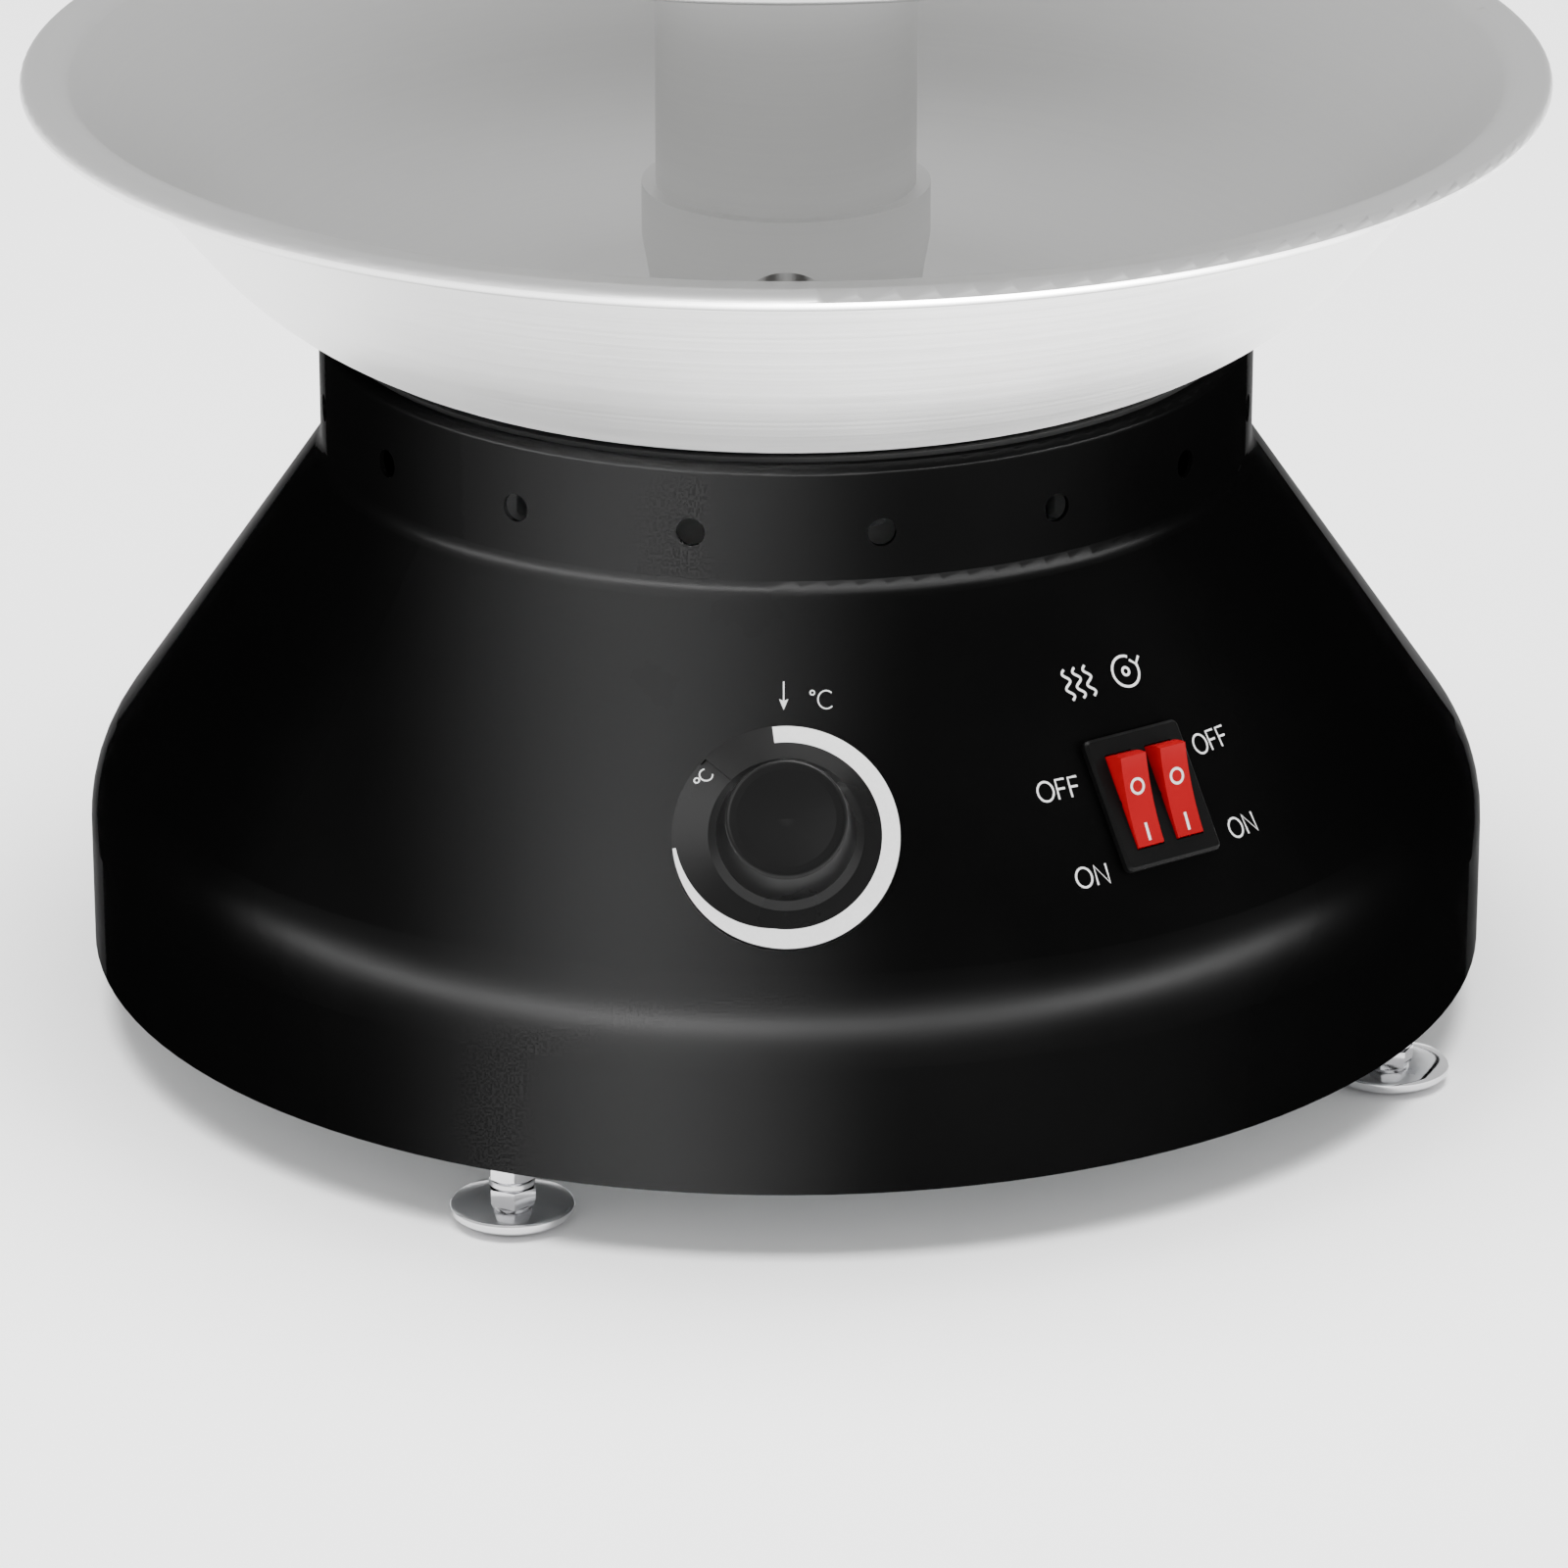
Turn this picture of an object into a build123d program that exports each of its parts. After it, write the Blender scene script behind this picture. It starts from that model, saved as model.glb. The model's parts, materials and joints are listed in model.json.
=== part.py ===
from build123d import *
import os
from math import atan2, cos, degrees, radians, sin, sqrt, tan

# A chocolate fountain with a stainless bowl on a black base. A motor in the base turns an auger
# that lifts the melted chocolate up a tube, and it falls over three tiers back into the heated bowl.
# Millimetres, +Z up. The origin is on the tower's axis at the floor. The controls face -Y.

os.makedirs("parts", exist_ok=True)

# Clearances
fit_gap = 0.02          # pieces that are pressed or screwed together
running_gap = 0.05      # a shaft in its bore
loose_gap = 0.3         # pieces that lift off
hole_gap = 0.3          # a screw in its clearance hole

# Shares of a screw head's height that is rounded and of a nut's corner that is cut back
head_round = 0.6
nut_bevel = 0.6

# Housing: a spun sheet shell with a skirt, a shoulder, a cone and a neck
housing_wall = 1.2
skirt_radius = 165.0
skirt_bottom = 16.7
skirt_height = 40.8     # heights run between the corners, as if nothing were rounded
cone_height = 80.7
neck_radius = 108.9
neck_height = 28.9
shoulder_bend = 35.4
neck_bend = 7.5
lip_bend = 2.0
lip_width = 7.4
vent_count = 16
vent_radius = 3.25
vent_drop = 1.25        # below the middle of the neck

# Floor of the base
mounting_ring_wall = 1.5
mounting_ring_height = 8.0
mounting_ring_width = 16.0
base_plate_wall = 1.5
base_plate_recess = 0.8
plate_screw_count = 4
plate_screw_radius = 1.95
plate_screw_head = 3.6
plate_screw_head_height = 1.9
plate_screw_length = 6.5
plate_vent_count = 12
plate_vent_circle = 100.0
plate_vent_length = 26.0
plate_vent_width = 5.0

# Levelling feet
foot_count = 4
foot_inset = 10.5       # from the skirt's inner face
foot_first_azimuth = -23.6
foot_pad_radius = 13.5
foot_pad_sole = 10.8
foot_pad_edge = 3.0
foot_pad_round = 0.7
foot_pad_cone = 1.3
foot_pad_top = 6.8
foot_hex = 10.0
foot_hex_height = 3.2
foot_groove = 0.8
foot_groove_radius = 4.1
foot_ring_radius = 5.2
foot_ring_height = 1.5
stud_radius = 3.0
stud_above_plate = 17.0
insert_height = 5.0

# Bowl
bowl_wall = 1.0
bowl_sink = 4.5         # how far the flat floor's underside lies below the neck's top
bowl_bend = 85.0
bowl_corner_past_lip = 10.1
bowl_flare = 50.0       # degrees that the wall rises
bowl_depth = 66.0
bowl_rim_width = 6.5
bowl_rim_bend = 5.0
rim_bead_radius = 2.5
gasket_wall = 1.0
gasket_depth = 3.5

# Heater under the bowl
heater_inner = 20.0
heater_outer = 58.0
heater_wall = 2.2
clamp_inner = 18.0
clamp_rim = 7.0         # from the posts' circle
clamp_wall = 1.5

# Studs, spacers and tie rods that carry the motor and hold the base together
post_count = 3
post_circle = 66.0
post_radius = 5.0
post_bolt = 2.5
post_nut_hex = 8.0
post_nut_height = 4.0
tie_screw_length = 12.0
tie_screw_head = 4.2
tie_screw_head_height = 1.3

# Motor and gearbox
motor_plate_wall = 2.5
motor_plate_rim = 10.0  # from the posts' circle
motor_plate_hole = 8.5
gearbox_radius = 35.0
gearbox_height = 22.0
gearbox_edge = 2.0
motor_radius = 29.0
motor_height = 45.0
motor_edge = 4.0
motor_cap_radius = 11.0
motor_cap_height = 5.0
motor_screw_circle = 28.0
motor_screw_count = 3
motor_screw_radius = 1.95
motor_screw_head = 3.4
motor_screw_head_height = 2.2
motor_screw_depth = 8.0
gearbox_shaft_radius = 4.0
gearbox_shaft_depth = 14.0

# Drive shaft, coupling, bush and seal
shaft_radius = 5.0
shaft_hex = 8.0
shaft_hex_length = 18.0
coupling_radius = 9.0
coupling_above_plate = 4.0
coupling_below_bush = 2.5
coupling_height = 18.0
coupling_screw_radius = 2.0
bush_radius = 9.0
bush_below_bowl = 7.6
bush_flange = 13.0
bush_flange_height = 1.5
bush_nut_hex = 24.0
bush_nut_height = 4.0
seal_radius = 9.0
seal_tip_radius = 6.4
seal_height = 2.9
seal_edge = 1.0

# Auger
auger_above_seal = 1.0
auger_core_radius = 8.0
auger_clearance = 0.7
auger_pitch = 50.0
auger_flight_wall = 2.6
auger_below_tube_top = 4.0
auger_tip_round = 3.0
auger_counterbore = 3.0

# Tower tube and its foot
tube_outer = 28.9
tube_wall = 0.8
tube_above_crown_floor = 28.0
foot_wall = 4.6
foot_flange_width = 8.5
foot_flange_wall = 2.0
foot_height = 36.4
window_count = 4
window_width = 24.0
window_bottom = 4.5     # above the bowl's inside floor
window_height = 20.0
pin_count = 3
pin_inset = 4.3         # from the foot's upright wall
pin_radius = 2.0
pin_height = 6.0

# Tiers: each is a dish welded on a sleeve that stacks round the tube
sleeve_wall = 1.0
tier_wall = 0.9
tier_slope = 12.0
tier_edge_bend = 9.0
tier_edge_drop = 15.0
tier_bead_radius = 1.3
tier_radii = (122.0, 92.0, 64.0)
sleeve_lengths = (112.0, 110.0, 105.0)
crown_sleeve_length = 77.0
crown_floor_width = 7.8
crown_flare = 10.0
crown_depth = 38.0
crown_bend = 6.0
crown_wall = 1.0
crown_bead_radius = 1.5

# Temperature knob and thermostat, on an axis square to the cone
knob_rise = 33.9        # above the shoulder's corner
knob_skirt_radius = 25.25
knob_standoff = 3.0
knob_skirt_edge = 1.5
knob_skirt_top = 17.2
knob_skirt_rise = 7.2
knob_grip_step = 1.8
knob_grip_taper = 2.1
knob_total = 22.7
knob_edge_round = 1.2
knob_dish = 0.6
knob_wall = 1.5
knob_boss = 6.0
knob_index_width = 1.6
knob_index_depth = 0.5
knob_index_turn = 47.0  # degrees counter-clockwise from the top
stem_radius = 3.0
stem_flat = 2.3
stem_top = 17.5
stem_hole = 6.0
thermostat_radius = 18.0
thermostat_depth = 22.0
thermostat_gap = 0.36   # between its edge and the cone's inner face
thermostat_edge = 2.0
thermostat_bore_depth = 14.0
thermostat_neck_radius = 5.0
thermostat_screw_offset = 14.0
thermostat_screw_radius = 1.95
thermostat_screw_head = 3.4
thermostat_screw_head_height = 1.6
thermostat_screw_length = 9.0
capillary_radius = 1.0
capillary_offset = 9.0
capillary_seat = 4.0
capillary_bend = 9.0
capillary_lead = 16.0
capillary_tail = 18.0
# Azimuth, distance past the motor plate's edge and height over its underside, at each bend
capillary_route = ((20.0, 28.0, -44.0), (32.0, 23.0, -10.0), (42.0, -1.0, 6.0))
bulb_radius = 3.0
bulb_length = 60.0
bulb_offset = 48.0
clip_spacing = 36.0
clip_width = 6.0
clip_wall = 0.8
clip_foot = 5.0

# Twin rocker switch
switch_azimuth = 35.0
switch_rise = 34.3      # above the shoulder's corner
bezel_side = 2.2
bezel_end = 1.5
bezel_rise = 2.2
bezel_corner = 1.5
bezel_edge = 0.7
switch_body_depth = 22.0
switch_cutout_gap = 0.2
slot_web = 3.6
slot_side_wall = 1.6
slot_end_wall = 2.75
slot_length = 22.5
slot_width = 7.4
slot_depth = 12.0
rocker_side_gap = 0.2
rocker_pivot_below_rim = 1.0
rocker_face = 4.1
rocker_dip = 0.9
rocker_tilt = 14.0
rocker_skirt = 5.0
rocker_keel = 7.0
rocker_keel_width = 2.0
rocker_pin_radius = 1.0
rocker_pin_seat = 1.4
terminal_width = 4.8
terminal_wall = 0.8
terminal_length = 8.0
terminal_pitch = 8.5

# Cord gland and terminal block at the back
gland_rise = 21.3       # above the skirt's bottom
gland_bore = 3.5
gland_thread = 7.5
gland_flange_radius = 10.5
gland_flange_wall = 2.0
gland_hex = 17.0
gland_hex_length = 7.5
gland_inside = 14.0
gland_nut_hex = 18.0
gland_nut_wall = 3.5
block_length = 32.0
block_width = 18.0
block_height = 14.0
block_edge = 1.0
block_inset = 63.8      # from the skirt's inner face
block_way_pitch = 10.0
block_bore = 1.6
block_screw_radius = 1.7
block_screw_depth = 5.0
block_screw_recess = 1.0


def around(azimuth, radius, height=0.0):
    """A place at an azimuth counted from the front towards +X, turned to face outwards."""
    angle = radians(azimuth)
    return Location((radius * sin(angle), -radius * cos(angle), height), (0, 0, azimuth))


def spread(count, radius, height=0.0, first=0.0):
    """Places spaced evenly round the axis."""
    return [around(first + 360.0 * index / count, radius, height) for index in range(count)]


def turned(points):
    """A solid turned about the axis from a closed outline of (radius, height) points."""
    return revolve(Plane.XZ * make_face(Polyline(*points, close=True)), Axis.Z)


def ring(inner, outer, bottom, top):
    """A plain ring with flat ends."""
    return Pos(0, 0, bottom) * extrude(Circle(outer) - Circle(inner), top - bottom)


def rod(radius, bottom, top):
    """An upright round bar."""
    return Pos(0, 0, bottom) * extrude(Circle(radius), top - bottom)


def hex_bar(across_flats, bottom, top):
    """An upright six-sided bar."""
    hexagon = RegularPolygon(across_flats / 2, 6, major_radius=False)
    return Pos(0, 0, bottom) * extrude(hexagon, top - bottom)


def spun_sheet(points, bends, wall, side):
    """A spun sheet: a bent line with rounded corners, thickened to one side and turned about the axis."""
    path = FilletPolyline(*points, radius=bends)
    edge = path.offset_2d(wall, kind=Kind.INTERSECTION, side=side, closed=True)
    return revolve(Plane.XZ * make_face(edge), Axis.Z)


def bead(radius, height, bead_radius):
    """A rolled edge round the axis."""
    return revolve(Plane.XZ * Pos(radius, height) * Circle(bead_radius), Axis.Z)


# Heights and slope of the housing
shoulder_corner = skirt_bottom + skirt_height
neck_corner = shoulder_corner + cone_height
neck_top = neck_corner + neck_height
cone_lean = degrees(atan2(skirt_radius - neck_radius, cone_height))


def cone_radius(height):
    """Outer radius of the housing's cone."""
    return neck_radius + (neck_corner - height) * tan(radians(cone_lean))


def cone_plane(azimuth, height):
    """A work plane on the cone: x to the right, y up the slope and z straight out."""
    angle = radians(azimuth)
    lean = radians(cone_lean)
    radius = cone_radius(height)
    return Plane(
        origin=(radius * sin(angle), -radius * cos(angle), height),
        x_dir=(cos(angle), sin(angle), 0),
        z_dir=(sin(angle) * cos(lean), -cos(angle) * cos(lean), sin(lean)),
    )


# Places that several pieces share
skirt_inner = skirt_radius - housing_wall
lip_radius = neck_radius - lip_width
vent_height = (neck_corner + neck_top) / 2 - vent_drop
foot_circle = skirt_inner - foot_inset
plate_bottom = skirt_bottom + base_plate_recess
plate_top = plate_bottom + base_plate_wall
ring_top = plate_top + mounting_ring_wall
bowl_floor = neck_top - bowl_sink
bowl_inside = bowl_floor + bowl_wall
bowl_bend_corner = lip_radius + bowl_corner_past_lip
bowl_rim_height = bowl_floor + bowl_depth
flare_run = (bowl_rim_height - bowl_floor) / tan(radians(bowl_flare))
bowl_rim_start = bowl_bend_corner + flare_run
bowl_rim_radius = bowl_rim_start + bowl_rim_width
clamp_outer = post_circle + clamp_rim
clamp_top = bowl_floor - heater_wall
clamp_bottom = clamp_top - clamp_wall
coupling_top = bowl_floor - bush_below_bowl - coupling_below_bush
coupling_bottom = coupling_top - coupling_height
motor_plate_radius = post_circle + motor_plate_rim
rod_azimuth = 0.0
stud_azimuth = rod_azimuth + 180.0 / post_count
motor_plate_top = coupling_bottom - coupling_above_plate
motor_plate_bottom = motor_plate_top - motor_plate_wall
gearbox_bottom = motor_plate_bottom - gearbox_height
motor_bottom = gearbox_bottom - motor_height
seal_top = bowl_inside + bush_flange_height + seal_height
auger_bottom = seal_top + auger_above_seal
hex_bottom = auger_bottom + auger_counterbore
shaft_top = hex_bottom + shaft_hex_length
shaft_join = coupling_bottom + coupling_height / 2
tower_foot_top = bowl_inside + foot_height
tower_foot_base = bowl_inside + foot_flange_wall
foot_wall_radius = tube_outer + foot_wall
foot_flange_radius = foot_wall_radius + foot_flange_width
pin_circle = foot_wall_radius + pin_inset
sleeve_inner = tube_outer + loose_gap
sleeve_outer = sleeve_inner + sleeve_wall
sleeve_joints = [tower_foot_top + sum(sleeve_lengths[:count]) for count in range(len(sleeve_lengths) + 1)]
crown_base = sleeve_joints[-1] + crown_sleeve_length
crown_floor_radius = sleeve_outer + crown_floor_width
crown_radius = crown_floor_radius + crown_flare
crown_top = crown_base + crown_depth
tower_top = crown_base + tube_above_crown_floor
auger_top = tower_top - auger_below_tube_top
auger_radius = tube_outer - tube_wall - auger_clearance
knob_height = shoulder_corner + knob_rise
knob_plane = cone_plane(0, knob_height)
knob_grip_radius = knob_skirt_top - knob_grip_step
knob_grip_top = knob_grip_radius - knob_grip_taper
cone_round = cone_radius(knob_height) / cos(radians(cone_lean))
cone_sag = cone_round - sqrt(cone_round ** 2 - thermostat_radius ** 2)
thermostat_face = housing_wall + cone_sag + thermostat_gap
slot_spacing = slot_width + slot_web
switch_body_width = slot_spacing + slot_width + 2 * slot_side_wall
switch_body_length = slot_length + 2 * slot_end_wall
bezel_width = switch_body_width + 2 * bezel_side
bezel_length = switch_body_length + 2 * bezel_end
switch_plane = cone_plane(switch_azimuth, shoulder_corner + switch_rise)
gland_height = skirt_bottom + gland_rise
block_place = skirt_inner - block_inset
rocker_pivot = bezel_rise - rocker_pivot_below_rim
bulb_height = clamp_bottom - bulb_radius


# Base

def housing():
    line = [
        (skirt_radius, skirt_bottom),
        (skirt_radius, shoulder_corner),
        (neck_radius, neck_corner),
        (neck_radius, neck_top),
        (lip_radius, neck_top),
    ]
    shell = spun_sheet(line, [shoulder_bend, neck_bend, lip_bend], housing_wall, Side.LEFT)
    vents = Plane.XZ * extrude(Circle(vent_radius), 2 * lip_bend + housing_wall, both=True)
    for place in spread(vent_count, neck_radius, vent_height, 180.0 / vent_count):
        shell -= place * vents
    shell -= knob_plane * rod(stem_hole, -2 * housing_wall, 2 * housing_wall)
    for side in (-1, 1):
        hole = rod(thermostat_screw_radius + hole_gap, -3 * housing_wall, housing_wall)
        shell -= knob_plane * Pos(side * thermostat_screw_offset, 0, 0) * hole
    opening = Box(
        switch_body_width + 2 * switch_cutout_gap,
        switch_body_length + 2 * switch_cutout_gap,
        6 * housing_wall,
    )
    shell -= switch_plane * opening
    shell -= gland_axis() * rod(gland_thread + hole_gap, -3 * housing_wall, 3 * housing_wall)
    return shell


def gland_axis():
    """A work plane on the back of the skirt, with z straight out."""
    return Plane(origin=(0, skirt_radius, gland_height), x_dir=(-1, 0, 0), z_dir=(0, 1, 0))


def mounting_ring():
    outline = [
        (skirt_inner - mounting_ring_width, plate_top),
        (skirt_inner - fit_gap, plate_top),
        (skirt_inner - fit_gap, plate_top + mounting_ring_height),
        (skirt_inner - fit_gap - mounting_ring_wall, plate_top + mounting_ring_height),
        (skirt_inner - fit_gap - mounting_ring_wall, ring_top),
        (skirt_inner - mounting_ring_width, ring_top),
    ]
    piece = turned(outline)
    for place in foot_places():
        piece -= place * rod(stud_radius + hole_gap, plate_bottom, ring_top)
    for place in plate_screw_places():
        piece -= place * rod(plate_screw_radius + fit_gap, plate_bottom, ring_top)
    return piece


def foot_places():
    return spread(foot_count, foot_circle, 0, foot_first_azimuth)


def plate_screw_places():
    return spread(plate_screw_count, foot_circle, 0, foot_first_azimuth + 180.0 / foot_count)


def post_places(first):
    return spread(post_count, post_circle, 0, first)


def base_plate():
    piece = rod(skirt_inner - loose_gap, plate_bottom, plate_top)
    for place in foot_places():
        piece -= place * rod(stud_radius + hole_gap, plate_bottom, plate_top)
    for place in plate_screw_places():
        piece -= place * rod(plate_screw_radius + hole_gap, plate_bottom, plate_top)
    for place in post_places(rod_azimuth):
        piece -= place * rod(post_bolt + hole_gap, plate_bottom, plate_top)
    vent = extrude(SlotOverall(plate_vent_length, plate_vent_width), base_plate_wall)
    for place in spread(plate_vent_count, plate_vent_circle, plate_bottom, 180.0 / plate_vent_count):
        piece -= place * vent
    return piece


def pan_screw(shank, head, head_height, length):
    """A screw that points up, with its head's seat at height 0."""
    cap = rod(head, -head_height, 0)
    cap = fillet(cap.edges().group_by(Axis.Z)[0], head_height * head_round)
    return cap + rod(shank, 0, length)


def base_plate_screws():
    screw = pan_screw(plate_screw_radius, plate_screw_head, plate_screw_head_height, plate_screw_length)
    return [place * Pos(0, 0, plate_bottom) * screw for place in plate_screw_places()]


# Feet

pad_peak = foot_pad_edge + foot_pad_cone
foot_hex_top = pad_peak + foot_hex_height
foot_ring_bottom = foot_hex_top + foot_groove
foot_ring_top = foot_ring_bottom + foot_ring_height
foot_neck_top = foot_ring_top + foot_groove


def foot():
    """A pad, a hexagon, a ring and a threaded stud, turned in one piece."""
    outline = [
        (0, 0),
        (foot_pad_sole, 0),
        (foot_pad_radius, foot_pad_edge / 2),
        (foot_pad_radius, foot_pad_edge),
        (foot_pad_top, pad_peak),
        (0, pad_peak),
    ]
    pad = turned(outline)
    circles = pad.edges().filter_by(GeomType.CIRCLE)
    pad = fillet([edge for edge in circles if abs(edge.radius - foot_pad_radius) < fit_gap], foot_pad_round)
    stem = hex_bar(foot_hex, pad_peak, foot_hex_top)
    stem += rod(foot_groove_radius, foot_hex_top, foot_neck_top)
    stem += rod(foot_ring_radius, foot_ring_bottom, foot_ring_top)
    stem += rod(stud_radius, pad_peak, plate_top + stud_above_plate)
    return pad + stem


def hex_nut(across_flats, bore, bottom, top):
    nut = hex_bar(across_flats, bottom, top)
    corner = across_flats / sqrt(3)
    chamfer_drop = (corner - across_flats / 2) * nut_bevel
    outline = [
        (bore, bottom),
        (across_flats / 2, bottom),
        (corner, bottom + chamfer_drop),
        (corner, top - chamfer_drop),
        (across_flats / 2, top),
        (bore, top),
    ]
    return nut & turned(outline)


def foot_lock_nuts():
    nut = hex_nut(foot_hex, stud_radius + running_gap, foot_neck_top, plate_bottom)
    return [place * nut for place in foot_places()]


def foot_inserts():
    nut = hex_nut(foot_hex, stud_radius + running_gap, ring_top, ring_top + insert_height)
    return [place * nut for place in foot_places()]


# Bowl and heater

def bowl_line():
    return [
        (bush_radius + fit_gap, bowl_floor),
        (bowl_bend_corner, bowl_floor),
        (bowl_rim_start, bowl_rim_height),
        (bowl_rim_radius, bowl_rim_height),
    ]


def bowl():
    shell = spun_sheet(bowl_line(), [bowl_bend, bowl_rim_bend], bowl_wall, Side.LEFT)
    return shell + bead(bowl_rim_radius, bowl_rim_height + bowl_wall - rim_bead_radius, rim_bead_radius)


def bowl_core():
    """The space that the bowl's underside encloses, down to its floor."""
    path = FilletPolyline(*bowl_line()[:3], radius=[bowl_bend])
    wall = bowl_line()
    close = Polyline(path @ 1, (0, wall[2][1]), (0, bowl_floor), path @ 0)
    return revolve(Plane.XZ * make_face([*path.edges(), *close.edges()]), Axis.Z)


def bowl_gasket(housing_shell):
    block = ring(
        lip_radius - gasket_wall,
        lip_radius + gasket_depth,
        neck_top - housing_wall - gasket_wall,
        neck_top + gasket_wall,
    )
    return block - bowl_core() - housing_shell


def heating_element():
    return ring(heater_inner, heater_outer, clamp_top, bowl_floor)


def heater_clamp_plate():
    piece = ring(clamp_inner, clamp_outer, clamp_bottom, clamp_top)
    for place in post_places(stud_azimuth):
        piece -= place * rod(post_bolt + hole_gap, clamp_bottom, clamp_top)
    return piece


# Posts between the bowl, the motor plate and the base plate

def bowl_studs():
    low = motor_plate_bottom - post_nut_height - post_bolt
    return [place * rod(post_bolt, low, bowl_floor) for place in post_places(stud_azimuth)]


def motor_spacers():
    piece = ring(post_bolt + fit_gap, post_radius, motor_plate_top, clamp_bottom)
    return [place * piece for place in post_places(stud_azimuth)]


def stud_nuts():
    low = motor_plate_bottom - post_nut_height
    nut = hex_nut(post_nut_hex, post_bolt + fit_gap, low, motor_plate_bottom)
    return [place * nut for place in post_places(stud_azimuth)]


def tie_rods():
    piece = rod(post_radius, plate_top, motor_plate_bottom)
    bore = rod(post_bolt + fit_gap, plate_top, plate_top + tie_screw_length)
    piece -= bore
    piece -= Pos(0, 0, motor_plate_bottom - plate_top - tie_screw_length) * bore
    return [place * piece for place in post_places(rod_azimuth)]


def tie_rod_screws():
    length = base_plate_wall + tie_screw_length - 2 * fit_gap
    low = Pos(0, 0, plate_bottom) * pan_screw(post_bolt, tie_screw_head, tie_screw_head_height, length)
    top_length = motor_plate_wall + tie_screw_length - 2 * fit_gap
    top_screw = pan_screw(post_bolt, tie_screw_head, tie_screw_head_height, top_length)
    high = Pos(0, 0, motor_plate_top) * Rot(180, 0, 0) * top_screw
    return [place * screw for place in post_places(rod_azimuth) for screw in (low, high)]


# Motor and drive

def motor_plate():
    piece = ring(motor_plate_hole, motor_plate_radius, motor_plate_bottom, motor_plate_top)
    for place in post_places(stud_azimuth) + post_places(rod_azimuth):
        piece -= place * rod(post_bolt + hole_gap, motor_plate_bottom, motor_plate_top)
    for place in motor_screw_places():
        piece -= place * rod(motor_screw_radius + hole_gap, motor_plate_bottom, motor_plate_top)
    return piece


def motor_screw_places():
    return spread(motor_screw_count, motor_screw_circle)


def motor_screws():
    length = motor_plate_wall + motor_screw_depth - 2 * fit_gap
    screw = pan_screw(motor_screw_radius, motor_screw_head, motor_screw_head_height, length)
    hung = Pos(0, 0, motor_plate_top) * Rot(180, 0, 0) * screw
    return [place * hung for place in motor_screw_places()]


def gearbox():
    piece = rod(gearbox_radius, gearbox_bottom, motor_plate_bottom)
    piece = fillet(piece.edges().group_by(Axis.Z)[0], gearbox_edge)
    bore_bottom = motor_plate_bottom - gearbox_shaft_depth
    piece -= rod(gearbox_shaft_radius + running_gap, bore_bottom, motor_plate_bottom)
    screw_bottom = motor_plate_bottom - motor_screw_depth
    for place in motor_screw_places():
        piece -= place * rod(motor_screw_radius + fit_gap, screw_bottom, motor_plate_bottom)
    return piece


def motor():
    can = rod(motor_radius, motor_bottom, gearbox_bottom)
    can = fillet(can.edges().group_by(Axis.Z)[0], motor_edge)
    return can + rod(motor_cap_radius, motor_bottom - motor_cap_height, motor_bottom)


def gearbox_shaft():
    return rod(gearbox_shaft_radius, motor_plate_bottom - gearbox_shaft_depth, shaft_join)


def shaft_coupling():
    piece = rod(coupling_radius, coupling_bottom, coupling_top)
    piece -= rod(gearbox_shaft_radius + fit_gap, coupling_bottom, shaft_join)
    piece -= rod(shaft_radius + fit_gap, shaft_join, coupling_top)
    for place in coupling_screw_places():
        piece -= place * rod(coupling_screw_radius + fit_gap, 0, 2 * coupling_radius)
    return piece


def coupling_screw_places():
    """Two set screws square to the axis, with z outwards."""
    heights = (shaft_join - coupling_height / 4, shaft_join + coupling_height / 4)
    return [Plane(origin=(0, 0, height), x_dir=(1, 0, 0), z_dir=(0, -1, 0)) for height in heights]


def coupling_screws():
    seats = (gearbox_shaft_radius, shaft_radius)
    places = coupling_screw_places()
    return [place * rod(coupling_screw_radius, seat + fit_gap, coupling_radius)
            for place, seat in zip(places, seats)]


def drive_shaft():
    return rod(shaft_radius, shaft_join, hex_bottom) + hex_bar(shaft_hex, hex_bottom, shaft_top)


def drive_bush():
    body = ring(shaft_radius + running_gap, bush_radius, bowl_floor - bush_below_bowl, bowl_inside)
    flange = ring(shaft_radius + running_gap, bush_flange, bowl_inside, bowl_inside + bush_flange_height)
    return body + flange


def bush_nut():
    return hex_nut(bush_nut_hex, bush_radius + fit_gap, bowl_floor - bush_nut_height, bowl_floor)


def shaft_seal():
    low = bowl_inside + bush_flange_height
    inner = shaft_radius + running_gap
    outline = [
        (inner, low),
        (seal_radius, low),
        (seal_radius, low + seal_edge),
        (seal_tip_radius, seal_top),
        (inner, seal_top),
    ]
    return turned(outline)


# Auger

def auger_core():
    """The auger's bar, with a six-sided socket that drops over the drive shaft."""
    bar = rod(auger_core_radius, auger_bottom, auger_top)
    bar = fillet(bar.edges().group_by(Axis.Z)[-1], auger_tip_round)
    bar -= hex_bar(shaft_hex + 2 * loose_gap, auger_bottom, shaft_top)
    return bar - rod(shaft_radius + loose_gap, auger_bottom, hex_bottom + loose_gap)


def auger_flight():
    """One blade wound up the core as a helix, swept from its cross-section."""
    inner = auger_core_radius + fit_gap
    middle = (inner + auger_radius) / 2
    rise = auger_top - auger_tip_round - auger_bottom - 2 * auger_flight_wall
    start = Pos(0, 0, auger_bottom + auger_flight_wall)
    path = start * Helix(auger_pitch, rise, middle)
    section = Plane(origin=path @ 0, x_dir=(1, 0, 0), z_dir=path % 0)
    return sweep(section * Rectangle(auger_radius - inner, auger_flight_wall), path=path, is_frenet=True)


# Tower

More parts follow.
